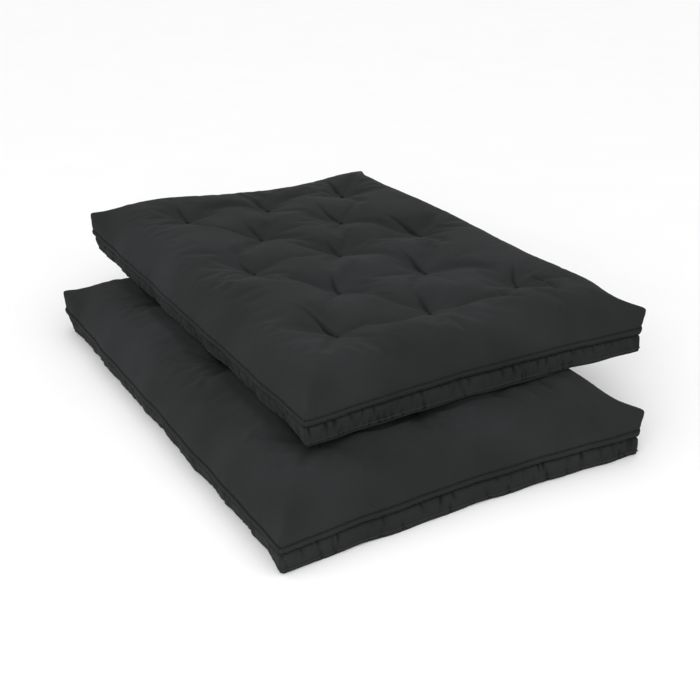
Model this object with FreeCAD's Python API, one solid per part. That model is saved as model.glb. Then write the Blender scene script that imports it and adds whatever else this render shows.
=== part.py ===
import FreeCAD, Part
import os
from FreeCAD import Vector

# Two tufted futon mattresses, full size, stacked. Each is a sewn cover round five
# layers of filling, drawn together by thirteen tufting twines. The upper mattress
# lies on the lower one, moved to the right and back, and is parted at its fold line
# into a seat half and a back half.
#
# Frame, in millimetres: +Z up, +X to the right across the mattresses, +Y to the back
# along them. The origin is on the floor, in the middle of the stack's footprint.

# One mattress, lying flat
width = 1320.0  # along X
length = 1905.0  # along Y, the way the fold line runs
thickness = 208.0
edge_round = 45.0  # radius on every edge of the filled cover
cloth = 1.5  # the cover cloth, hems and all

# The upper mattress, from the lower one
shift_right = 224.0
shift_back = 267.0
rest_gap = 0.5  # air between the two covers

# The side of the cover, from the floor up
welt_low = 11.0  # the welt joins the bottom panel to the border
welt_high = 17.0
tape_low = 70.0  # the tape covers the seam between border and top panel
tape_high = 93.0
sewn_stand = 1.5  # how far welt and tape stand out of the cloth

# Tufts, in rows of three and two by turns
tuft_row_step = 314.0
tuft_column_step = 182.0
dimple_mouth_radius = 60.0
dimple_floor_radius = 11.0
dimple_depth = 42.0
tuft_radius = 8.0
tuft_height = 5.0
tuft_round = 2.2
twine_radius = 1.6
twine_hole_radius = 2.4
knot_radius = 3.4

# Filling, from the floor up: batting, foam, batting, foam, batting
foam_inset = 115.0  # batting past the foam's edges
foam_height = 38.0
foam_round = 12.0
middle_batting_height = 16.0

# The fold of the upper mattress, between two columns of tufts
fold_x = tuft_column_step / 2
fold_gap = 0.3

far = 3000.0  # past the end of everything


def rounded_box(inset):
    """The filled cover without its dimples, taken in on all sides by inset."""
    size_x = width - 2 * inset
    size_y = length - 2 * inset
    low = Vector(-size_x / 2, -size_y / 2, inset)
    box = Part.makeBox(size_x, size_y, thickness - 2 * inset, low)
    return box.makeFillet(edge_round - inset, box.Edges)


def layer(low_z, high_z):
    """All the space between two heights."""
    return Part.makeBox(2 * far, 2 * far, high_z - low_z, Vector(-far, -far, low_z))


def tuft_places():
    """Centres of the tufts."""
    places = []
    for row in range(-2, 3):
        columns = (-2, 0, 2) if row % 2 == 0 else (-1, 1)
        for column in columns:
            places.append((column * tuft_column_step, row * tuft_row_step))
    return places


def dimples(inset):
    """The hollows over and under the tufts, as cones, grown by inset."""
    slope = (dimple_mouth_radius - dimple_floor_radius) / dimple_depth
    depth = dimple_depth + inset
    floor_radius = dimple_floor_radius + inset
    mouth_radius = floor_radius + slope * depth
    cones = []
    for x, y in tuft_places():
        for face_z, inward in ((thickness, -1), (0.0, 1)):
            mouth = Vector(x, y, face_z)
            cones.append(
                Part.makeCone(mouth_radius, floor_radius, depth, mouth, Vector(0, 0, inward))
            )
    return cones


def drilled(shape):
    """The shape with a hole for each twine."""
    holes = []
    for x, y in tuft_places():
        holes.append(Part.makeCylinder(twine_hole_radius, thickness, Vector(x, y, 0)))
    return shape.cut(holes)


def sewn_band(low_z, high_z):
    """A closed band sewn round the sides, a little proud of the cloth."""
    wall = rounded_box(-sewn_stand).cut(rounded_box(cloth))
    return wall.common(layer(low_z, high_z))


def corner_wedges():
    """Prisms that meet at the corners, one for each side's border strip."""
    x = width / 2 + edge_round
    y = length / 2 + edge_round
    ridge = y - x  # half the line along Y that the corners' 45 degree cuts run to
    outlines = {
        "front": [(-x, -y), (x, -y), (0, -ridge)],
        "right": [(x, -y), (x, y), (0, ridge), (0, -ridge)],
        "back": [(x, y), (-x, y), (0, ridge)],
        "left": [(-x, y), (-x, -y), (0, -ridge), (0, ridge)],
    }
    wedges = {}
    for side, outline in outlines.items():
        points = [Vector(px, py, 0) for px, py in outline + outline[:1]]
        wedges[side] = Part.Face(Part.makePolygon(points)).extrude(Vector(0, 0, thickness))
    return wedges


def cover_pieces():
    """The sewn cover: two panels, four border strips, the seam tape and the welt."""
    plain_wall = rounded_box(0.0).cut(rounded_box(cloth))
    side_wall = plain_wall.common(layer(welt_low, tape_high))
    outside = rounded_box(0.0).cut(dimples(0.0))
    inside = rounded_box(cloth).cut(dimples(cloth))
    panels = drilled(outside.cut(inside)).cut(side_wall)
    pieces = {
        "top_panel": panels.common(layer(tape_high, thickness)),
        "bottom_panel": panels.common(layer(0.0, tape_high)),
        "seam_tape": sewn_band(tape_low, tape_high),
        "bottom_welt": sewn_band(welt_low, welt_high),
    }
    strip = plain_wall.common(layer(welt_high, tape_low))
    for side, wedge in corner_wedges().items():
        pieces["border_" + side] = strip.common(wedge)
    return pieces


def filling_pieces():
    """Two foam sheets, with batting between them and wrapped round them."""
    middle = thickness / 2
    gap = middle_batting_height / 2
    size_x = width - 2 * foam_inset
    size_y = length - 2 * foam_inset
    sheets = {
        "upper_foam": middle + gap,
        "lower_foam": middle - gap - foam_height,
    }
    core = []
    pieces = {}
    for name, low_z in sheets.items():
        sheet = Part.makeBox(size_x, size_y, foam_height, Vector(-size_x / 2, -size_y / 2, low_z))
        sheet = sheet.makeFillet(foam_round, sheet.Edges)
        core.append(sheet)
        pieces[name] = drilled(sheet)
    between_low = Vector(-size_x / 2, -size_y / 2, middle - gap)
    between = Part.makeBox(size_x, size_y, middle_batting_height, between_low)
    core.append(between)
    pieces["middle_batting"] = drilled(between)
    wrap = drilled(rounded_box(cloth).cut(dimples(cloth)).cut(core))
    pieces["upper_batting"] = wrap.common(layer(middle, thickness))
    pieces["lower_batting"] = wrap.common(layer(0.0, middle))
    return pieces


def tuft(x, y, face_z, outward):
    """One felt tuft on the floor of its dimple, with its hole for the twine."""
    foot = Vector(x, y, face_z - outward * dimple_depth)
    up = Vector(0, 0, outward)
    disc = Part.makeCylinder(tuft_radius, tuft_height, foot, up)
    crown_z = foot.z + outward * tuft_height
    rim = [edge for edge in disc.Edges if abs(edge.CenterOfMass.z - crown_z) < 0.01]
    disc = disc.makeFillet(tuft_round, rim)
    return disc.cut(Part.makeCylinder(twine_hole_radius, tuft_height, foot, up))


def twine(x, y):
    """One twine through the mattress, with a knot over each of its tufts."""
    low_z = dimple_depth - tuft_height
    high_z = thickness - low_z
    strand = Part.makeCylinder(twine_radius, high_z - low_z, Vector(x, y, low_z))
    knots = []
    for z, outward in ((high_z, 1), (low_z, -1)):
        knot_foot = Vector(x, y, z)
        up = Vector(0, 0, outward)
        knots.append(Part.makeCone(knot_radius, knot_radius / 2, knot_radius, knot_foot, up))
    return strand.fuse(knots).removeSplitter()


def tufting_pieces():
    """The groups of tufts and twines, each a separate solid."""
    places = tuft_places()
    return {
        "top_tufts": Part.makeCompound([tuft(x, y, thickness, 1) for x, y in places]),
        "bottom_tufts": Part.makeCompound([tuft(x, y, 0.0, -1) for x, y in places]),
        "tufting_twines": Part.makeCompound([twine(x, y) for x, y in places]),
    }


def write(name, shape, place):
    """Moves a piece to its place in the stack and writes it."""
    group = Part.makeCompound(shape.Solids)
    group.translate(place)
    if not group.isValid():
        raise ValueError(name + " is not a valid shape")
    group.exportStep("parts/" + name + ".step")
    print(f"{name}: {len(group.Solids)} solids, {group.Volume / 1e6:.2f} litres")


def fold_sides():
    """The space of the seat half and of the back half, each side of the fold line."""
    return {
        "seat_": Part.makeBox(far, 2 * far, 2 * far, Vector(fold_x - far, -far, -far)),
        "back_": Part.makeBox(far, 2 * far, 2 * far, Vector(fold_x + fold_gap, -far, -far)),
    }


os.makedirs("parts", exist_ok=True)
pieces = {**cover_pieces(), **filling_pieces(), **tufting_pieces()}
lower_place = Vector(-shift_right / 2, -shift_back / 2, 0)
upper_place = Vector(shift_right / 2, shift_back / 2, thickness + rest_gap)
for piece_name, piece in pieces.items():
    write("base_" + piece_name, piece, lower_place)
    for prefix, side in fold_sides().items():
        half = piece.common(side)
        if half.Solids:
            write(prefix + piece_name, half, upper_place)
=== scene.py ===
import math
import bpy
import numpy as np
from mathutils import Matrix, Vector


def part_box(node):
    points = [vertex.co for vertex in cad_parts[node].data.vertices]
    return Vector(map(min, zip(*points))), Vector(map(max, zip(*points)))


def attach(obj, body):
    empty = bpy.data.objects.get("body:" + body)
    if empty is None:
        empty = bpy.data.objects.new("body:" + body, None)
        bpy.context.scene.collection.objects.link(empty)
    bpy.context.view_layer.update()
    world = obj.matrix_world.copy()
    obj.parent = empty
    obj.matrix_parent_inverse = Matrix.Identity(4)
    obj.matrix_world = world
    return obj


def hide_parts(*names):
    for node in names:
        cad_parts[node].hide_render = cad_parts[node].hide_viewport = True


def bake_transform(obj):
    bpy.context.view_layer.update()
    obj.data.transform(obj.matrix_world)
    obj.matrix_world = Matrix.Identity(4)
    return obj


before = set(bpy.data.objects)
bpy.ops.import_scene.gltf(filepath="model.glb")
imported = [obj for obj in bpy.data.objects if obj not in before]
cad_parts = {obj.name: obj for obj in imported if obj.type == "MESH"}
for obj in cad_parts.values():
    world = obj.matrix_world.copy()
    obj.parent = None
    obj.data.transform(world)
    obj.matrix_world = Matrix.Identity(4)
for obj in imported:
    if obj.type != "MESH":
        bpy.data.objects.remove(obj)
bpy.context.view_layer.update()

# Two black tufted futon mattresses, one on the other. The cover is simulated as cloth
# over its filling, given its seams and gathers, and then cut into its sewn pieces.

bpy.ops.object.select_all(action="DESELECT")

# sizes of one mattress, and where the two lie, from the frame
panelLow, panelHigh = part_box("base_top_panel")
tuftsLow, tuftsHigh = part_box("base_top_tufts")
tuftRadius = 0.008
columnStep = (tuftsHigh.x - tuftsLow.x - 2 * tuftRadius) / 4
rowStep = (tuftsHigh.y - tuftsLow.y - 2 * tuftRadius) / 4
halfWidth = (panelHigh.x - panelLow.x) / 2
halfLength = (panelHigh.y - panelLow.y) / 2
weltLow, weltHigh = (corner.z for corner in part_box("base_bottom_welt"))
weltHeight = (weltLow + weltHigh) / 2
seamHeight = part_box("base_border_front")[1].z
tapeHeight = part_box("base_seam_tape")[1].z
lowerPlace = Vector((panelLow.x + halfWidth, panelLow.y + halfLength, 0))
seatLow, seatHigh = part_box("seat_top_panel")
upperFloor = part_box("seat_bottom_panel")[0].z
upperPlace = Vector((seatLow.x + halfWidth, seatLow.y + halfLength, upperFloor))
foldStart = (seatHigh.x, 0, 0)
foldEnd = (seatHigh.x + 0.42, 0, 0)

tuftPlaces = []
for row in range(-2, 3):
    for column in (-2, 0, 2) if row % 2 == 0 else (-1, 1):
        tuftPlaces.append((column * columnStep, row * rowStep))
tuftPlaces = np.array(tuftPlaces)


# Small tools

def activate(piece):
    bpy.ops.object.select_all(action="DESELECT")
    piece.select_set(True)
    bpy.context.view_layer.objects.active = piece


def applyModifier(piece, kind, **values):
    activate(piece)
    modifier = piece.modifiers.new(kind.lower(), kind)
    for key, value in values.items():
        setattr(modifier, key, value)
    bpy.ops.object.modifier_apply(modifier=modifier.name)


def readVectors(data, name, width=3):
    values = np.zeros(len(data) * width)
    data.foreach_get(name, values)
    return values.reshape(-1, width)


def writePoints(mesh, points):
    mesh.vertices.foreach_set("co", np.asarray(points, np.float32).ravel())
    mesh.update()


def makePiece(name, points, faces, uvs=None):
    mesh = bpy.data.meshes.new(name)
    mesh.from_pydata(points.tolist(), [], faces.tolist())
    if uvs is not None:
        mesh.uv_layers.new(name="cloth").data.foreach_set("uv", uvs.astype(np.float32).ravel())
    mesh.update()
    piece = bpy.data.objects.new(name, mesh)
    bpy.context.scene.collection.objects.link(piece)
    mesh.shade_smooth()
    return piece


def smoothStep(t):
    t = np.clip(t, 0, 1)
    return t * t * (3 - 2 * t)


def wander(s, steps, random):
    # a smooth random line along s, with about one turn in each step
    total = np.zeros_like(s)
    for step in steps:
        total += np.sin(2 * math.pi * s / step + random.uniform(0, 2 * math.pi)) / len(steps)
    return total


# The cover, simulated as cloth

cover = {
    "cell": 0.0165,  # cloth grid
    "boxHeight": 0.16,  # of the flat box that the cloth starts as
    "frames": 30,
    "stiffness": 40.0,
    "bending": 0.2,
    "pressure": 1.0,
    "spare": 0.024,  # share of cloth more than the filling needs, between the tufts
    "middleHold": 0.05,  # how firmly the filling holds the cloth, in the middle
    "edgeHold": 0.8,
    "edgeBand": 0.25,  # how far in from the edges the firm hold fades out
}
filling = {
    "crown": 0.183,
    "crownRun": 0.14,  # from the edge to full height
    "crownPower": 2.8,
    "shoulder": 0.017,  # how much fuller the band outside the tufts is
    "shoulderPlace": 0.15,
    "edgeHeight": 0.138,
    "cornerHeight": 0.163,
    "cornerRun": 0.16,
    "cornerPoints": {"front left": 0.2, "front right": 1.0, "back right": 0.6, "back left": 0.95},
    "bottomCorners": {"front left": 0.95, "front right": 1.0, "back right": 0.6, "back left": 0.1},
    "topTuck": 0.030,  # how far the edges lie inside the seam, above and below it
    "bottomTuck": {"front": -0.006, "back": 0.02, "left": 0.017, "right": 0.008},
    "dimpleDepth": 0.031,
    "dimpleRun": 0.07,
    "pullIn": {"front": 0.034, "back": 0.022, "left": -0.002, "right": 0.006},
    "cornerReach": 0.012,  # how far the sharp corners stand out
    "mounds": (  # place, radius and height of where the filling is fuller or thinner
        (-0.42, 0.86, 0.22, 0.026),
        (0.22, 0.88, 0.28, -0.022),
        (0.54, 0.15, 0.35, 0.020),
        (0.5, -0.62, 0.24, 0.026),
        (-0.5, -0.5, 0.25, -0.004),
        (0.64, -0.76, 0.17, 0.014),
        (0.66, -0.25, 0.25, 0.012),
    ),
}
levels = [0, weltHeight, 0.45 * seamHeight, 0.72 * seamHeight, seamHeight]
levels += [(seamHeight + tapeHeight) / 2, tapeHeight]
levels += [tapeHeight + part * (cover["boxHeight"] - tapeHeight) / 4 for part in (1, 2, 3, 4)]


def makeFlatBox():
    # a box of cloth with an edge loop at each seam
    bpy.ops.mesh.primitive_grid_add(
        x_subdivisions=round(2 * halfWidth / cover["cell"]),
        y_subdivisions=round(2 * halfLength / cover["cell"]),
        size=1,
    )
    box = bpy.context.object
    box.name = "cover_cloth"
    box.scale = (2 * halfWidth, 2 * halfLength, 1)
    bpy.ops.object.transform_apply(location=False, rotation=False, scale=True)
    bpy.ops.object.mode_set(mode="EDIT")
    bpy.ops.mesh.select_all(action="SELECT")
    for low, high in zip(levels, levels[1:]):
        bpy.ops.mesh.extrude_region_move(TRANSFORM_OT_translate={"value": (0, 0, high - low)})
    bpy.ops.mesh.select_all(action="SELECT")
    bpy.ops.mesh.normals_make_consistent(inside=False)
    bpy.ops.object.mode_set(mode="OBJECT")
    return box


def edgeDistance(flat):
    return np.minimum(halfWidth - np.abs(flat[:, 0]), halfLength - np.abs(flat[:, 1]))


def placeDistance(flat, place, level):
    # to a place on the top or bottom face, with other faces kept out of reach
    gap = np.hypot(flat[:, 0] - place[0], flat[:, 1] - place[1])
    gap[np.abs(flat[:, 2] - level) > 1e-4] = 9
    return gap


def tuftDistance(x, y):
    return np.hypot(x[:, None] - tuftPlaces[:, 0], y[:, None] - tuftPlaces[:, 1])


def atCorners(x, y, values):
    # a value for each corner, as far as the point lies in that quarter
    frontBack = np.where(x < 0, values["front left"], values["front right"])
    return np.where(y < 0, frontBack, np.where(x < 0, values["back left"], values["back right"]))


def filledShape(flat, dimpleDepth):
    # where the filling holds each point of the flat box
    x, y, height = flat.T
    toSide, toEnd = halfWidth - np.abs(x), halfLength - np.abs(y)
    corner = np.clip(1 - np.maximum(toSide, toEnd) / filling["cornerRun"], 0, 1) ** 2
    lowCorner = corner * atCorners(x, y, filling["bottomCorners"])
    corner = corner * atCorners(x, y, filling["cornerPoints"])
    onTop = height > cover["boxHeight"] - 1e-5
    onBottom = height < 1e-5
    toEdge = ((toSide + 1e-3) ** -4 + (toEnd + 1e-3) ** -4) ** -0.25
    rise = 1 - (1 - np.clip(toEdge / filling["crownRun"], 0, 1)) ** filling["crownPower"]
    edge = filling["edgeHeight"] + (filling["cornerHeight"] - filling["edgeHeight"]) * corner
    away = np.sqrt(tuftDistance(x, y) ** 2 + 0.01**2)
    dimples = dimpleDepth * np.exp(-away / filling["dimpleRun"]).sum(1)
    above = np.clip((height - seamHeight) / (cover["boxHeight"] - seamHeight), 0, 1)
    below = np.clip(1 - height / seamHeight, 0, 1)
    z = np.where(height >= seamHeight, seamHeight + (edge - seamHeight) * above, height)
    shoulder = filling["shoulder"] * np.exp(-(((toEdge - filling["shoulderPlace"]) / 0.08) ** 2))
    z = np.where(onTop, edge + (filling["crown"] - edge) * rise + shoulder * rise - dimples, z)
    for moundX, moundY, radius, fullness in filling["mounds"]:
        near = np.exp(-((x - moundX) ** 2 + (y - moundY) ** 2) / radius**2)
        z = z + np.where(height > seamHeight, fullness * near * above, 0)
    z = np.where(onBottom, 0.8 * dimples, z)
    tuck = filling["topTuck"] * above**2 * (1 - corner) + 0.003 * (above**2 + below**1.5)
    tuck -= filling["cornerReach"] * (corner * above + 0.5 * lowCorner * below)
    under = filling["bottomTuck"]
    sideTuck = tuck + np.where(x < 0, under["left"], under["right"]) * below**1.5 * (1 - lowCorner)
    endTuck = tuck + np.where(y < 0, under["front"], under["back"]) * below**1.5 * (1 - lowCorner)
    x = x - sideTuck * (1 - np.clip(toSide / 0.15, 0, 1)) ** 2 * np.sign(x)
    y = y - endTuck * (1 - np.clip(toEnd / 0.15, 0, 1)) ** 2 * np.sign(y)
    u, v = x / halfWidth, y / halfLength
    pull = filling["pullIn"]
    slack = 1 - 0.5 * below
    alongEnd, alongSide = slack * np.cos(u * math.pi / 2), slack * np.cos(v * math.pi / 2)
    y = y + alongEnd * np.where(v < 0, -pull["front"] * v**3, -pull["back"] * v**3)
    x = x + alongSide * np.where(u < 0, -pull["left"] * u**3, -pull["right"] * u**3)
    return np.stack([x, y, z], 1)


def simulateCover(box, flat):
    start = filledShape(flat, 0)
    goal = filledShape(flat, filling["dimpleDepth"])
    writePoints(box.data, start)
    tied = []
    for place in tuftPlaces:
        for level in (0, cover["boxHeight"]):
            tied.append(int(np.argmin(placeDistance(flat, place, level))))
    box.shape_key_add(name="Basis")
    pulled = box.shape_key_add(name="pulled")
    pulled.data.foreach_set("co", goal.astype(np.float32).ravel())
    for value, when in ((0, 1), (1, 8)):
        pulled.value = value
        pulled.keyframe_insert("value", frame=when)
    edge = np.clip(1 - edgeDistance(flat) / cover["edgeBand"], 0, 1) ** 2
    edge[(flat[:, 2] > 1e-4) & (flat[:, 2] < cover["boxHeight"] - 1e-4)] = 1
    hold = cover["middleHold"] + (cover["edgeHold"] - cover["middleHold"]) * edge
    hold[tied] = 1
    holdGroup = box.vertex_groups.new(name="hold")
    fittedGroup = box.vertex_groups.new(name="fitted")
    for index in range(len(flat)):
        holdGroup.add([index], float(hold[index]), "REPLACE")
        fittedGroup.add([index], float(edge[index]), "REPLACE")
    cloth = box.modifiers.new("cloth", "CLOTH")
    values = cloth.settings
    values.quality = 6
    values.mass = 0.3
    values.tension_stiffness = cover["stiffness"]
    values.compression_stiffness = cover["stiffness"] / 2
    values.shear_stiffness = cover["stiffness"] / 5
    values.bending_stiffness = cover["bending"]
    values.vertex_group_mass = "hold"
    values.vertex_group_shrink = "fitted"
    values.shrink_min = -cover["spare"]
    values.shrink_max = 0
    values.use_pressure = True
    values.uniform_pressure_force = cover["pressure"]
    values.effector_weights.gravity = 0
    cloth.collision_settings.use_collision = False
    cloth.collision_settings.use_self_collision = False
    cloth.point_cache.frame_end = cover["frames"]
    for when in range(1, cover["frames"] + 1):
        bpy.context.scene.frame_set(when)
    settled = box.evaluated_get(bpy.context.evaluated_depsgraph_get())
    points = readVectors(settled.data.vertices, "co")
    bpy.context.scene.frame_set(1)
    return points


def clothCoordinates(flat, faces):
    # the box unfolded, in metres, so that the weave runs on over the edges
    corners = flat[faces]
    middle = corners.mean(1)
    drop = cover["boxHeight"] - corners[:, :, 2]
    onSide = np.abs(middle[:, 0]) > halfWidth - 1e-4
    onEnd = np.abs(middle[:, 1]) > halfLength - 1e-4
    onBottom = middle[:, 2] < 1e-4
    u = corners[:, :, 0] + np.where(onSide, np.sign(middle[:, 0]), 0)[:, None] * drop
    v = corners[:, :, 1] + np.where(onEnd, np.sign(middle[:, 1]), 0)[:, None] * drop
    u = u + np.where(onBottom, 3.0, 0)[:, None]
    return np.stack([u, v], 2).reshape(-1, 2)


def makeCover():
    # the simulated cover at two finenesses, as points, flat places, faces and cloth coordinates
    box = makeFlatBox()
    flat = readVectors(box.data.vertices, "co")
    points = simulateCover(box, flat)
    faces = readVectors(box.data.polygons, "vertices", 4).astype(int)
    bpy.data.objects.remove(box)
    finished = {}
    for name, level in (("fine", 2), ("coarse", 1)):
        piece = makePiece("cover_" + name, points, faces, clothCoordinates(flat, faces))
        places = piece.data.attributes.new("flat", "FLOAT_VECTOR", "POINT")
        places.data.foreach_set("vector", flat.astype(np.float32).ravel())
        applyModifier(piece, "SUBSURF", levels=level, render_levels=level)
        mesh = piece.data
        finished[name] = {
            "points": readVectors(mesh.vertices, "co"),
            "normals": readVectors(mesh.vertex_normals, "vector"),
            "flat": readVectors(mesh.attributes["flat"].data, "vector"),
            "faces": readVectors(mesh.polygons, "vertices", 4).astype(int),
            "uvs": readVectors(mesh.uv_layers["cloth"].data, "uv", 2).reshape(-1, 4, 2),
        }
        bpy.data.objects.remove(piece)
    return finished


# Seams, gathers and creases

gathers = {
    "furrowStep": 0.0165,
    "furrowWidth": (0.0035, 0.0085),
    "furrowDepth": (0.003, 0.0105),
    "puff": 0.004,
    "sideWave": 0.005,
    "seamDepth": 0.014,
    "seamWander": 0.0018,
    "tapePuff": 0.0036,
    "stitchDepth": 0.0024,
    "creaseDepth": 0.021,
    "creaseLength": 0.12,
    "creaseWidths": (0.028, 0.004),  # on its left and on its right
    "creaseStart": 0.07,  # from its start to full depth
    # the next two set the painted shade along the bottom of each crease
    "creaseLine": 0.005,  # width of the shaded line along its bottom
    "shadedDepth": 0.02,  # a crease this deep is shaded in full
}
# long creases towards the front right corner: x, y, heading, bend, length and depth
cornerCreases = (
    (0.26, -0.62, -84, 0.5, 0.16, 0.007),
    (0.36, -0.66, -78, -0.8, 0.17, 0.008),
    (0.44, -0.60, -80, -1.2, 0.20, 0.010),
    (0.53, -0.62, -86, -0.6, 0.19, 0.008),
    (0.10, -0.74, -70, 0.3, 0.12, 0.004),
    (-0.30, -0.78, -100, -0.5, 0.10, 0.003),
)


def aroundSides(flat):
    # distance along the four sides, from the front left corner
    x, y = flat[:, 0], flat[:, 1]
    toSide, toEnd = halfWidth - np.abs(x), halfLength - np.abs(y)
    width, length = 2 * halfWidth, 2 * halfLength
    front = x + halfWidth
    right = width + y + halfLength
    back = width + length + halfWidth - x
    left = 2 * width + length + halfLength - y
    onEnd = toEnd <= toSide
    return np.where(onEnd, np.where(y < 0, front, back), np.where(x > 0, right, left))


def cornerDistance(flat):
    return np.maximum(halfWidth - np.abs(flat[:, 0]), halfLength - np.abs(flat[:, 1]))


def crease(out, paintedShade, flat, allowed, start, heading, bend, length, depth):
    # a valley from its start, gentle on its left side and steep on its right, and painted shade along its
    # bottom
    along = np.array([math.cos(math.radians(heading)), math.sin(math.radians(heading))])
    offset = flat[:, :2] - start
    forward = offset @ along
    index = np.where(allowed & (forward > 0) & (forward < 2.2 * length))[0]
    forward = forward[index]
    sideways = offset[index] @ np.array([-along[1], along[0]]) - bend * forward**2
    left, right = gathers["creaseWidths"]
    profile = np.exp(-np.abs(sideways) / np.where(sideways > 0, left, right))
    fade = np.exp(-((forward / length) ** 2))
    out[index] -= depth * profile * smoothStep(forward / gathers["creaseStart"]) * fade
    line = np.exp(-np.abs(sideways) / gathers["creaseLine"]) * fade
    paintedShade[index] = np.maximum(paintedShade[index], line * depth / gathers["shadedDepth"])


def gatherCover(part, seed):
    random = np.random.default_rng(seed)
    flat, normals = part["flat"], part["normals"]
    height = flat[:, 2]
    s = aroundSides(flat)
    perimeter = 4 * (halfWidth + halfLength)
    rim = edgeDistance(flat)
    toCorner = cornerDistance(flat)
    out = np.zeros(len(flat))
    lift = np.zeros(len(flat))

    # the border: furrows down from the seam and up from the welt, and soft puffs between
    share = np.clip(height / seamHeight, 0, 1)
    border = (height < seamHeight + 1e-4) & (rim < 0.05)
    shape = np.where(border, np.sin(math.pi * share), 0)
    out += gathers["puff"] * shape * wander(s, (0.23, 0.11, 0.061), random)
    waves = gathers["sideWave"] * wander(s, (0.67, 0.38, 0.21), random)
    out += waves * np.exp(-((rim / 0.06) ** 2)) * smoothStep(toCorner / 0.15)
    index = np.where(border)[0]
    furrows = np.zeros(len(flat))
    count = round(perimeter / gathers["furrowStep"])
    for middle in np.sort(random.uniform(0, perimeter, count)):
        width = random.uniform(*gathers["furrowWidth"])
        depth = random.uniform(*gathers["furrowDepth"])
        slant = random.normal(0, 0.012)
        fromTop = random.random() < 0.62
        reach = random.uniform(0.5, 1.3)
        near = index[np.abs(s[index] - middle) < 0.04]
        closeness = share[near] if fromTop else 1 - share[near]
        fade = smoothStep(1 - (1 - closeness) / reach) * smoothStep((1.02 - closeness) / 0.12)
        across = (s[near] - middle - slant * (1 - closeness)) / width
        onBorder = np.clip(1 - rim[near] / 0.02, 0, 1)
        furrows[near] = np.maximum(furrows[near], depth * np.exp(-(across**2)) * fade * onBorder)
    out -= furrows

    # painted shade, from 0 to 1, darkens the cloth's colour: in furrows, along stitches and under the tape
    paintedShade = np.clip(furrows / 0.009, 0, 1) ** 2
    stitchLineShade = np.exp(-(((height - tapeHeight + 0.0028) / 0.002) ** 2)) * 0.6
    underTapeShade = np.exp(-(((height - seamHeight) / 0.006) ** 2)) * (height < seamHeight + 1e-4)
    paintedShade = np.where(rim < 1e-4, np.maximum(paintedShade, np.maximum(stitchLineShade, underTapeShade)), paintedShade)

    # seam under the tape, the tape, and its topstitching
    side = rim < 1e-4
    tuckedIn = 0.002 * np.exp(-(((height - seamHeight) / 0.003) ** 2))
    out -= np.where(side & (height > seamHeight), tuckedIn, 0)
    ragged = wander(s, (0.083, 0.037, 0.021), random) + 0.5 * wander(s, (0.017, 0.29), random)
    atSeam = np.exp(-(((height - seamHeight) / 0.01) ** 2))
    lift += np.where(side, gathers["seamWander"] * ragged * atSeam, 0)
    band = np.clip((height - seamHeight) / (tapeHeight - seamHeight), 0, 1)
    out += np.where(side, gathers["tapePuff"] * np.sin(math.pi * band) ** 0.7, 0)
    pull = 1 + 0.4 * wander(s, (0.05, 0.019), random)
    atStitches = np.exp(-(((height - tapeHeight) / 0.003) ** 2))
    out -= np.where(side, gathers["stitchDepth"] * pull * atStitches, 0)

    # short gathers in the top panel above the tape
    above = np.where((height > tapeHeight) & (rim < 0.1), height - tapeHeight + rim, 9)
    index = np.where(above < 0.12)[0]
    for middle in random.uniform(0, perimeter, round(perimeter / 0.05)):
        width = random.uniform(0.004, 0.009)
        depth = random.uniform(0.0006, 0.0024)
        run = random.uniform(0.02, 0.07)
        slant = random.normal(0, 0.35)
        near = index[np.abs(s[index] - middle) < 0.05]
        across = (s[near] - middle - slant * above[near]) / width
        fade = np.exp(-above[near] / run) * smoothStep(above[near] / 0.006)
        out[near] -= depth * np.exp(-(across**2)) * fade

    # corner darts
    dart = np.exp(-((toCorner / 0.006) ** 2)) * (rim < 1e-4)
    out -= 0.003 * dart * smoothStep((cover["boxHeight"] - 0.02 - height) / 0.03)

    # a crisp crease from each tuft towards the back, and long ones near a corner, each with painted shade
    # along its bottom
    onTop = height > cover["boxHeight"] - 1e-4
    for place in tuftPlaces:
        heading = random.normal(86, 8)
        length = gathers["creaseLength"] * random.uniform(0.7, 1.2)
        depth = gathers["creaseDepth"] * random.uniform(0.7, 1.15)
        crease(out, paintedShade, flat, onTop, place, heading, random.normal(0, 0.6), length, depth)
    for x, y, heading, bend, length, depth in cornerCreases:
        crease(out, paintedShade, flat, onTop, np.array([x, y]), heading, bend, length, depth)

    # the border is drawn in under the lower edge of the tape, more in some places
    ragged = 1 + 0.45 * wander(s, (0.034, 0.013, 0.0087), random)
    drawn = gathers["seamDepth"] * ragged * np.exp(-(((seamHeight - height) / 0.0075) ** 2))
    points = part["points"] + normals * out[:, None]
    points[:, 2] += lift
    part["paintedShade"] = paintedShade
    under = points - normals * np.where(side, drawn, 0)[:, None]
    return points, under


def settle(points, ceiling):
    # the floor flattens the underside, and the crown keeps under its ceiling
    z = points[:, 2]
    room = 0.014
    if ceiling < upperFloor:
        # only as far as the upper mattress lies on it
        offset = upperPlace - lowerPlace - Vector((halfWidth + 0.06, halfLength + 0.06, 0))
        covered = smoothStep((points[:, 0] - offset.x) / 0.06)
        covered *= smoothStep((points[:, 1] - offset.y) / 0.06)
        ceiling = ceiling + (1 - covered) * mattresses["upper"]["spare"]
    over = np.clip(z - (ceiling - room), 0, None)
    points[:, 2] = np.maximum(z - over + room * (1 - np.exp(-over / room)), 0)
    return points


def cutOut(name, part, points, chosen):
    faces = part["faces"][chosen]
    used, index = np.unique(faces, return_inverse=True)
    piece = makePiece(name, points[used], index.reshape(-1, 4), part["uvs"][chosen].reshape(-1, 2))
    # the painted shade of each point, by which the cloth material darkens its colour
    shade = piece.data.attributes.new("paintedShade", "FLOAT", "POINT")
    shade.data.foreach_set("value", part["paintedShade"][used].astype(np.float32))
    return piece


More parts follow.
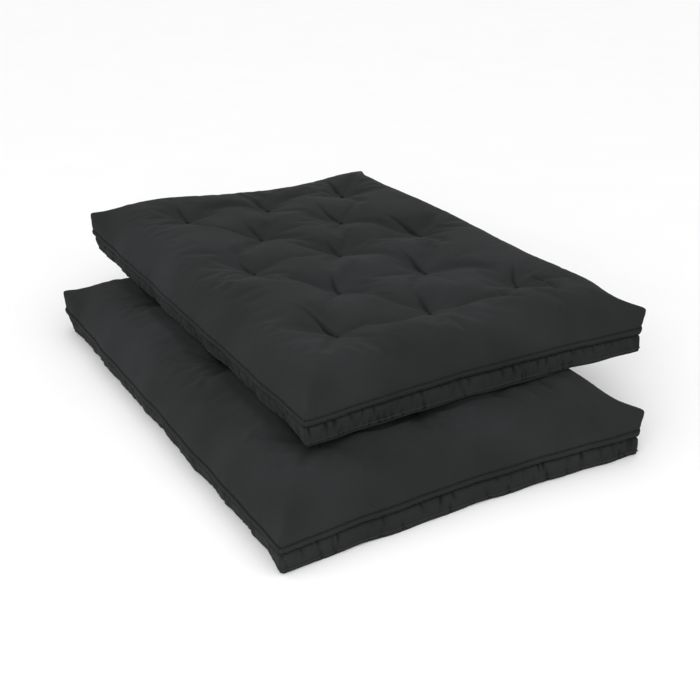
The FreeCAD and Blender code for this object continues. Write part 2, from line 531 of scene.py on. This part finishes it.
def hem(piece, depth):
    # turns the open edges of the piece inwards
    activate(piece)
    bpy.ops.object.mode_set(mode="EDIT")
    bpy.ops.mesh.select_mode(type="EDGE")
    bpy.ops.mesh.select_all(action="DESELECT")
    bpy.ops.mesh.select_non_manifold(extend=False)
    bpy.ops.mesh.extrude_edges_move()
    bpy.ops.object.mode_set(mode="OBJECT")
    mesh = piece.data
    points = readVectors(mesh.vertices, "co")
    picked = np.zeros(len(mesh.vertices), bool)
    mesh.vertices.foreach_get("select", picked)
    inward = -points[picked]
    inward[:, 2] = 0
    inward /= np.linalg.norm(inward, axis=1)[:, None]
    points[picked] += inward * depth
    writePoints(mesh, points)


def ring(part, points, height):
    # the loop round the sides at one of the levels, with its outward directions
    flat = part["flat"]
    onSide = edgeDistance(flat) < 1e-5
    level = flat[onSide][np.argmin(np.abs(flat[onSide, 2] - height)), 2]
    index = np.where(onSide & (np.abs(flat[:, 2] - level) < 1e-5))[0]
    index = index[np.argsort(aroundSides(flat[index]))]
    return points[index], part["normals"][index]


def column(part, points, at, low, high):
    # the upward line of points that is nearest to one distance along the sides
    flat = part["flat"]
    s = aroundSides(flat)
    onSide = (edgeDistance(flat) < 1e-5) & (flat[:, 2] > low - 1e-5) & (flat[:, 2] < high)
    nearest = s[onSide][np.argmin(np.abs(s[onSide] - at))]
    index = np.where(onSide & (np.abs(s - nearest) < 1e-5))[0]
    index = index[np.argsort(flat[index, 2])]
    return points[index], part["normals"][index]


def spaced(line, normals, step, closed=True):
    # evenly spaced places along a line: positions, directions and normals
    if closed:
        line = np.vstack([line, line[:1]])
        normals = np.vstack([normals, normals[:1]])
    reach = np.concatenate([[0], np.cumsum(np.linalg.norm(np.diff(line, axis=0), axis=1))])
    at = np.arange(0, reach[-1] - step / 2, step)
    place = np.stack([np.interp(at, reach, line[:, axis]) for axis in range(3)], 1)
    ahead = np.stack([np.interp(at + step / 2, reach, line[:, axis]) for axis in range(3)], 1)
    up = np.stack([np.interp(at, reach, normals[:, axis]) for axis in range(3)], 1)
    return place, ahead - place, up


def copies(name, shape, places, along, up):
    # one mesh with a copy of a small shape at each place, its X along and its Z up
    along = along / np.linalg.norm(along, axis=1)[:, None]
    across = np.cross(up, along)
    across /= np.linalg.norm(across, axis=1)[:, None]
    up = np.cross(along, across)
    corners = readVectors(shape.data.vertices, "co")
    turned = (
        corners[None, :, :1] * along[:, None]
        + corners[None, :, 1:2] * across[:, None]
        + corners[None, :, 2:] * up[:, None]
    )
    points = (turned + places[:, None]).reshape(-1, 3)
    loops = [list(face.vertices) for face in shape.data.polygons]
    faces = []
    for count in range(len(places)):
        faces.extend([[corner + count * len(corners) for corner in loop] for loop in loops])
    mesh = bpy.data.meshes.new(name)
    mesh.from_pydata(points.tolist(), [], faces)
    mesh.shade_smooth()
    piece = bpy.data.objects.new(name, mesh)
    bpy.context.scene.collection.objects.link(piece)
    return piece


# Stitches, welt, tufts and twines

sewing = {
    "stitchLength": 0.0046,
    "stitchGap": 0.0018,
    "stitchThickness": 0.0011,
    "weltRadius": 0.0030,
}
tufting = {
    "discRadius": tuftRadius,
    "discHeight": 0.005,
    "twineRadius": 0.0016,
    "knotRadius": 0.0034,
}


def stitchShape():
    bpy.ops.mesh.primitive_uv_sphere_add(segments=6, ring_count=4, radius=0.5)
    stitch = bpy.context.object
    bpy.ops.transform.rotate(value=math.pi / 2, orient_axis="Y", center_override=(0, 0, 0))
    thickness = sewing["stitchThickness"]
    bpy.ops.transform.resize(value=(sewing["stitchLength"], thickness, thickness))
    bpy.ops.object.transform_apply(location=False, rotation=True, scale=True)
    return stitch


def makeStitches(name, part, points):
    stitch = stitchShape()
    step = sewing["stitchLength"] + sewing["stitchGap"]
    rows = []
    for height in (tapeHeight - 0.0028, seamHeight + 0.0045):
        line, normals = ring(part, points, height)
        rows.append(spaced(line, normals, step))
    perimeter = 4 * (halfWidth + halfLength)
    for corner in (0, 2 * halfWidth, perimeter / 2, perimeter / 2 + 2 * halfWidth):
        for offset in (-0.007, 0.007):
            at = (corner + offset) % perimeter
            line, normals = column(part, points, at, seamHeight, tapeHeight + 0.034)
            rows.append(spaced(line, normals, step, closed=False))
    places, along, up = (np.vstack(values) for values in zip(*rows))
    piece = copies(name, stitch, places + up * 0.0002, along, up)
    bpy.data.objects.remove(stitch)
    return piece


def makeWelt(name, part, points):
    line, normals = ring(part, points, weltHeight)
    curve = bpy.data.curves.new(name, "CURVE")
    curve.dimensions = "3D"
    curve.bevel_depth = sewing["weltRadius"]
    curve.bevel_resolution = 2
    path = curve.splines.new("POLY")
    path.points.add(len(line) - 1)
    path.points.foreach_set("co", np.hstack([line, np.ones((len(line), 1))]).ravel())
    path.use_cyclic_u = True
    welt = bpy.data.objects.new(name, curve)
    bpy.context.scene.collection.objects.link(welt)
    activate(welt)
    bpy.ops.object.convert(target="MESH")
    bpy.ops.object.shade_smooth()
    return bpy.context.object


def tuftShape():
    bpy.ops.mesh.primitive_cylinder_add(
        vertices=24, radius=tufting["discRadius"], depth=tufting["discHeight"]
    )
    disc = bpy.context.object
    applyModifier(disc, "BEVEL", width=0.0018, segments=3, limit_method="ANGLE")
    return disc


def knotShape():
    # two crossed loops of twine
    bpy.ops.mesh.primitive_torus_add(
        major_radius=0.0034, minor_radius=0.0014, major_segments=14, minor_segments=6
    )
    knot = bpy.context.object
    bpy.ops.mesh.primitive_torus_add(
        major_radius=0.0026,
        minor_radius=0.0014,
        major_segments=12,
        minor_segments=6,
        location=(0, 0, 0.0012),
        rotation=(0.9, 0.3, 0),
    )
    knot.select_set(True)
    bpy.context.view_layer.objects.active = knot
    bpy.ops.object.join()
    return knot


def tuftSpots(part, points, level, outward):
    spots = []
    for place in tuftPlaces:
        near = np.argsort(placeDistance(part["flat"], place, level))[:9]
        spots.append(points[near].mean(0) + np.array([0, 0, outward * 0.0015]))
    return np.array(spots)


def makeTufts(name, spots, outward, seed):
    random = np.random.default_rng(seed)
    disc = tuftShape()
    turn = random.uniform(0, math.pi, len(spots))
    along = np.stack([np.cos(turn), np.sin(turn), 0 * turn], 1)
    leanX = random.normal(0, 0.06, len(spots))
    leanY = random.normal(0, 0.06, len(spots))
    up = np.stack([leanX, leanY, 0 * turn + outward], 1)
    piece = copies(name, disc, spots, along, up)
    bpy.data.objects.remove(disc)
    return piece


def makeTwines(name, top, bottom, seed):
    random = np.random.default_rng(seed)
    bpy.ops.mesh.primitive_cylinder_add(vertices=10, radius=tufting["twineRadius"], depth=1)
    strand = bpy.context.object
    knot = knotShape()
    strands = []
    for high, low in zip(top, bottom):
        twine = strand.copy()
        twine.data = strand.data.copy()
        corners = readVectors(twine.data.vertices, "co")
        share = corners[:, 2:] + 0.5
        corners[:, 2] = 0
        writePoints(twine.data, corners + low + (high - low) * share)
        bpy.context.scene.collection.objects.link(twine)
        strands.append(twine)
    turn = random.uniform(0, math.pi, 2 * len(top))
    along = np.stack([np.cos(turn), np.sin(turn), 0 * turn], 1)
    up = np.repeat([[0, 0, 1.0], [0, 0, -1.0]], len(top), axis=0)
    ends = np.vstack([top, bottom]) + up * (tufting["discHeight"] / 2 + 0.001)
    knots = copies(name, knot, ends, along, up)
    activate(knots)
    for twine in strands:
        twine.select_set(True)
    bpy.ops.object.join()
    bpy.data.objects.remove(strand)
    bpy.data.objects.remove(knot)
    return knots


# Materials


def newMaterial(name, roughness, sheen=0.0, specular=0.3):
    material = bpy.data.materials.new(name)
    material.use_nodes = True
    shader = material.node_tree.nodes["Principled BSDF"]
    shader.inputs["Roughness"].default_value = roughness
    shader.inputs["Sheen Weight"].default_value = sheen
    shader.inputs["Sheen Roughness"].default_value = 0.5
    shader.inputs["Specular IOR Level"].default_value = specular
    return material, material.node_tree, shader


def addNode(tree, kind, links=None, **values):
    node = tree.nodes.new(kind)
    for key, value in values.items():
        if key in node.inputs:
            node.inputs[key].default_value = value
        else:
            setattr(node, key, value)
    for key, socket in (links or {}).items():
        tree.links.new(socket, node.inputs[key])
    return node


def colourRange(tree, value, dark, light, low=0.3, high=0.7):
    ramp = addNode(tree, "ShaderNodeValToRGB", {"Fac": value})
    ramp.color_ramp.elements[0].position = low
    ramp.color_ramp.elements[0].color = (*dark, 1)
    ramp.color_ramp.elements[1].position = high
    ramp.color_ramp.elements[1].color = (*light, 1)
    return ramp.outputs["Color"]


def wovenMaterial(name, dark, light, thread, paintedShadeStrength=0.7):
    # plain weave, in metres of cloth, with painted shade darkening its colour in creases, furrows, along
    # stitches and under the tape
    material, tree, shader = newMaterial(name, 0.95, sheen=0.02, specular=0.06)
    cloth = addNode(tree, "ShaderNodeUVMap", uv_map="cloth").outputs["UV"]
    patches = addNode(tree, "ShaderNodeTexNoise", {"Vector": cloth}, Scale=5.0, Detail=4.0)
    slubs = addNode(tree, "ShaderNodeTexNoise", {"Vector": cloth}, Scale=420.0, Detail=2.0)
    both = addNode(
        tree, "ShaderNodeMath", {0: patches.outputs["Fac"], 1: slubs.outputs["Fac"]}, operation="ADD"
    )
    half = addNode(tree, "ShaderNodeMath", {0: both.outputs[0]}, operation="MULTIPLY")
    half.inputs[1].default_value = 0.5
    plain = colourRange(tree, half.outputs[0], dark, light, 0.36, 0.64)
    broad = addNode(tree, "ShaderNodeTexNoise", {"Vector": cloth}, Scale=1.3, Detail=2.0)
    worn = colourRange(tree, broad.outputs["Fac"], (0.90, 0.92, 0.90), (1.12, 1.14, 1.18), 0.38, 0.62)
    mixed = addNode(tree, "ShaderNodeVectorMath", {0: plain, 1: worn}, operation="MULTIPLY")
    # painted shade: the colour is scaled down where the shade attribute is high
    paintedShade = addNode(tree, "ShaderNodeAttribute", attribute_name="paintedShade")
    shade = addNode(tree, "ShaderNodeMath", {0: paintedShade.outputs["Fac"]}, operation="MULTIPLY_ADD")
    shade.inputs[1].default_value = -paintedShadeStrength
    shade.inputs[2].default_value = 1
    shaded = addNode(
        tree,
        "ShaderNodeVectorMath",
        {0: mixed.outputs["Vector"], "Scale": shade.outputs[0]},
        operation="SCALE",
    )
    tree.links.new(shaded.outputs["Vector"], shader.inputs["Base Color"])
    threads = []
    for direction in ("X", "Y"):
        wave = addNode(
            tree,
            "ShaderNodeTexWave",
            {"Vector": cloth},
            Scale=0.314 / thread,
            Distortion=0.6,
            bands_direction=direction,
        )
        threads.append(wave.outputs["Fac"])
    weave = addNode(tree, "ShaderNodeMath", {0: threads[0], 1: threads[1]}, operation="MAXIMUM")
    threadBump = addNode(
        tree, "ShaderNodeBump", {"Height": weave.outputs[0]}, Strength=0.35, Distance=0.0002
    )
    crumple = addNode(tree, "ShaderNodeTexNoise", {"Vector": cloth}, Scale=38.0, Detail=5.0)
    crumpleBump = addNode(
        tree,
        "ShaderNodeBump",
        {"Height": crumple.outputs["Fac"], "Normal": threadBump.outputs["Normal"]},
        Strength=0.3,
        Distance=0.0015,
    )
    tree.links.new(crumpleBump.outputs["Normal"], shader.inputs["Normal"])
    return material


def fibreMaterial(name, dark, light, scale, roughness, depth, sheen=0.2, bends=True):
    # felt, batting, foam and twine, by the place in space, or for what bends by the place at rest
    material, tree, shader = newMaterial(name, roughness, sheen=sheen)
    if bends:
        place = addNode(tree, "ShaderNodeAttribute", attribute_name="restPlace").outputs["Vector"]
    else:
        place = addNode(tree, "ShaderNodeTexCoord").outputs["Object"]
    noise = addNode(tree, "ShaderNodeTexNoise", {"Vector": place}, Scale=scale, Detail=5.0)
    tree.links.new(colourRange(tree, noise.outputs["Fac"], dark, light), shader.inputs["Base Color"])
    bump = addNode(tree, "ShaderNodeBump", {"Height": noise.outputs["Fac"]}, Strength=0.6, Distance=depth)
    tree.links.new(bump.outputs["Normal"], shader.inputs["Normal"])
    return material


battingLook = ((0.62, 0.58, 0.50), (0.84, 0.81, 0.74), 60, 1.0, 0.002)
foamLook = ((0.74, 0.62, 0.34), (0.86, 0.76, 0.48), 500, 0.95, 0.0006)
materials = {
    "cover_cloth": wovenMaterial(
        "cover cloth", (0.0166, 0.0174, 0.0174), (0.0225, 0.0234, 0.0234), thread=0.0007
    ),
    "seam_tape": wovenMaterial(
        "seam tape", (0.0155, 0.016, 0.016), (0.0215, 0.022, 0.022), thread=0.0006
    ),
    "welt_cloth": fibreMaterial("welt cloth", (0.012,) * 3, (0.018,) * 3, 700, 0.9, 0.0003, 0),
    "thread": fibreMaterial("thread", (0.004,) * 3, (0.010,) * 3, 1500, 0.8, 0.0002, 0),
    "tuft_felt": fibreMaterial("tuft felt", (0.006,) * 3, (0.013,) * 3, 900, 1.0, 0.0005, 0),
    "twine": fibreMaterial("twine", (0.006,) * 3, (0.014,) * 3, 1200, 0.8, 0.0003, 0),
    "cotton_batting": fibreMaterial("cotton batting", *battingLook),
    "foam": fibreMaterial("foam", *foamLook),
    "unbent cotton_batting": fibreMaterial("unbent cotton batting", *battingLook, bends=False),
    "unbent foam": fibreMaterial("unbent foam", *foamLook, bends=False),
}


def dress(piece, slotName, materialName=None):
    # gives the piece its material, which is the slot's unless another is named
    piece.data.materials.clear()
    piece.data.materials.append(materials[materialName or slotName])
    return piece


def storeRestPlace(piece):
    restPlace = piece.data.attributes.new("restPlace", "FLOAT_VECTOR", "POINT")
    points = readVectors(piece.data.vertices, "co")
    restPlace.data.foreach_set("vector", points.astype(np.float32).ravel())


# Putting the two mattresses together

mattresses = {
    "lower": {"place": lowerPlace, "ceiling": upperFloor - 0.001, "seed": 3},
    "upper": {"place": upperPlace, "ceiling": upperFloor + 0.013, "seed": 11, "spare": 0.014},
}
batting = {
    "sideInset": 0.042,  # from the cover
    "flattened": 0.78,
    "insetRun": 0.24,  # from the edge to where it meets the cover again
    "thickness": 0.012,
}
bodiesOf = {"seat": "upper_seat_half", "back": "upper_back_half"}


def finishPiece(which, piece, slotName, node, materialName=None):
    # puts the piece in place and attaches it to its half; a piece on both halves stays unattached, its
    # place baked into its points
    piece.data.transform(Matrix.Translation(mattresses[which]["place"]))
    dress(piece, slotName, materialName)
    storeRestPlace(piece)
    if which == "lower":
        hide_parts("base_" + node)
        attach(piece, "lower_mattress")
    else:
        halves = [half for half in bodiesOf if half + "_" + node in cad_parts]
        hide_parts(*[half + "_" + node for half in halves])
        if len(halves) == 2:
            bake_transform(piece)
        else:
            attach(piece, bodiesOf[halves[0]])
    return piece


def buildMattress(which):
    seed = mattresses[which]["seed"]
    fine, coarse = coverParts["fine"], coverParts["coarse"]
    ceiling = mattresses[which]["ceiling"]
    points, underTape = (settle(layer, ceiling) for layer in gatherCover(fine, seed))
    roughPoints = settle(gatherCover(coarse, seed)[0], ceiling)
    middle = fine["flat"][fine["faces"]].mean(1)
    height = middle[:, 2]
    top = cutOut(which + "_top_panel", fine, points, height > tapeHeight)
    hem(top, 0.006)
    finishPiece(which, top, "cover_cloth", "top_panel")
    tape = cutOut(
        which + "_seam_tape", fine, points, (height > seamHeight) & (height < tapeHeight)
    )
    hem(tape, 0.004)
    finishPiece(which, tape, "seam_tape", "seam_tape")
    inBorder = (height > weltHeight) & (height < seamHeight + 0.006)
    toSide, toEnd = halfWidth - np.abs(middle[:, 0]), halfLength - np.abs(middle[:, 1])
    sides = {
        "front": (toEnd < toSide) & (middle[:, 1] < 0),
        "back": (toEnd < toSide) & (middle[:, 1] > 0),
        "left": (toSide < toEnd) & (middle[:, 0] < 0),
        "right": (toSide < toEnd) & (middle[:, 0] > 0),
    }
    for side, chosen in sides.items():
        border = cutOut(which + "_border_" + side, fine, underTape, inBorder & chosen)
        finishPiece(which, border, "cover_cloth", "border_" + side)
    lowest = coarse["flat"][coarse["faces"]].mean(1)[:, 2]
    bottom = cutOut(which + "_bottom_panel", coarse, roughPoints, lowest < 1e-5)
    turnUp = cutOut("turn_up", fine, points, (height > 1e-5) & (height < weltHeight))
    activate(bottom)
    turnUp.select_set(True)
    bpy.ops.object.join()
    finishPiece(which, bottom, "cover_cloth", "bottom_panel")
    welt = makeWelt(which + "_bottom_welt", fine, points)
    finishPiece(which, welt, "welt_cloth", "bottom_welt")
    stitches = makeStitches(which + "_stitches", fine, points)
    finishPiece(which, stitches, "seam_tape", "seam_tape", "thread")
    topSpots = tuftSpots(fine, points, cover["boxHeight"], 1)
    bottomSpots = tuftSpots(coarse, roughPoints, 0, -1)
    tufts = makeTufts(which + "_top_tufts", topSpots, 1, seed)
    finishPiece(which, tufts, "tuft_felt", "top_tufts")
    tufts = makeTufts(which + "_bottom_tufts", bottomSpots, -1, seed + 1)
    finishPiece(which, tufts, "tuft_felt", "bottom_tufts")
    twines = makeTwines(which + "_tufting_twines", topSpots, bottomSpots, seed)
    finishPiece(which, twines, "twine", "tufting_twines")
    inset = roughPoints.copy()
    for axis, half in ((0, halfWidth), (1, halfLength)):
        nearEdge = smoothStep(1 - (half - np.abs(coarse["flat"][:, axis])) / batting["insetRun"])
        inset[:, axis] -= np.sign(coarse["flat"][:, axis]) * batting["sideInset"] * nearEdge
    middleHeight = upperFloor / 2
    inset[:, 2] = middleHeight + (inset[:, 2] - middleHeight) * batting["flattened"]
    for level, node in ((1, "upper_batting"), (-1, "lower_batting")):
        wrap = cutOut(which + "_" + node, coarse, inset, (lowest - seamHeight) * level > 0)
        applyModifier(wrap, "SOLIDIFY", thickness=batting["thickness"], offset=-1)
        finishPiece(which, wrap, "cotton_batting", node)
    print(which, "mattress: built")


def bendableFilling(node, slotName):
    # a copy of the back half's foam or batting, sliced so that it can bend
    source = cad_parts["back_" + node]
    piece = source.copy()
    piece.data = source.data.copy()
    piece.name = "upper_back_" + node
    piece.parent = None
    piece.matrix_world = Matrix.Identity(4)
    piece.hide_render = False
    piece.hide_viewport = False
    bpy.context.scene.collection.objects.link(piece)
    activate(piece)
    bpy.ops.object.mode_set(mode="EDIT")
    bpy.ops.mesh.select_all(action="SELECT")
    bpy.ops.mesh.remove_doubles(threshold=1e-6)
    for cut in range(1, 12):
        bpy.ops.mesh.select_all(action="SELECT")
        at = foldStart[0] + cut * (foldEnd[0] - foldStart[0]) / 12
        bpy.ops.mesh.bisect(plane_co=(at, 0, 0), plane_no=(1, 0, 0))
    bpy.ops.object.mode_set(mode="OBJECT")
    dress(piece, slotName)
    storeRestPlace(piece)
    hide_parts("back_" + node)
    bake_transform(piece)


print("cover: simulating the cloth")
coverParts = makeCover()
print("cover: done,", len(coverParts["fine"]["points"]), "points")
for which in mattresses:
    buildMattress(which)
fillingSlots = {"upper_foam": "foam", "lower_foam": "foam", "middle_batting": "cotton_batting"}
for node, slotName in fillingSlots.items():
    bendableFilling(node, slotName)
    for prefix in ("base_", "seat_"):
        dress(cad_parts[prefix + node], slotName, "unbent " + slotName)
print("filling: done")

# Floor, light and camera

studio = {
    "world": 1.08,
    "floor": 0.88,
    "keyEnergy": 110.0,
}
bpy.ops.mesh.primitive_plane_add(size=60)
floor = bpy.context.object
floor.name = "floor"
material, tree, shader = newMaterial("floor", 0.9)
place = addNode(tree, "ShaderNodeTexCoord").outputs["Object"]
noise = addNode(tree, "ShaderNodeTexNoise", {"Vector": place}, Scale=3.0)
tint = studio["floor"]
tree.links.new(
    colourRange(tree, noise.outputs["Fac"], (tint - 0.005,) * 3, (tint + 0.005,) * 3),
    shader.inputs["Base Color"],
)
floor.data.materials.append(material)

scene = bpy.context.scene
scene.view_settings.view_transform = "Standard"
scene.world = bpy.data.worlds.new("studio")
scene.world.use_nodes = True
scene.world.node_tree.nodes["Background"].inputs["Color"].default_value = (1, 1, 1, 1)
scene.world.node_tree.nodes["Background"].inputs["Strength"].default_value = studio["world"]


def addLight(name, energy, size, place, target):
    light = bpy.data.lights.new(name, "AREA")
    light.energy = energy
    light.size = size
    lamp = bpy.data.objects.new(name, light)
    scene.collection.objects.link(lamp)
    lamp.location = place
    lamp.rotation_euler = (Vector(target) - Vector(place)).to_track_quat("-Z", "Y").to_euler()


addLight("key", studio["keyEnergy"], 3.0, (-3.6, -3.8, 2.6), (0, 0, 0.2))

viewpoint = {"yaw": -30.0, "pitch": 25.83, "distance": 4.304, "right": 0.098, "up": 0.127, "lens": 60.12}
yaw, pitch = math.radians(viewpoint["yaw"]), math.radians(viewpoint["pitch"])
backward = Vector((math.sin(yaw) * math.cos(pitch), -math.cos(yaw) * math.cos(pitch), math.sin(pitch)))
right = Vector((math.cos(yaw), math.sin(yaw), 0))
upward = backward.cross(right)
lens = bpy.data.cameras.new("camera")
lens.lens = viewpoint["lens"]
lens.sensor_width = 36
camera = bpy.data.objects.new("camera", lens)
scene.collection.objects.link(camera)
spot = lowerPlace + backward * viewpoint["distance"] + right * viewpoint["right"] + upward * viewpoint["up"]
turn = Matrix((right, upward, backward)).transposed().to_4x4()
camera.matrix_world = Matrix.Translation(spot) @ turn
scene.camera = camera
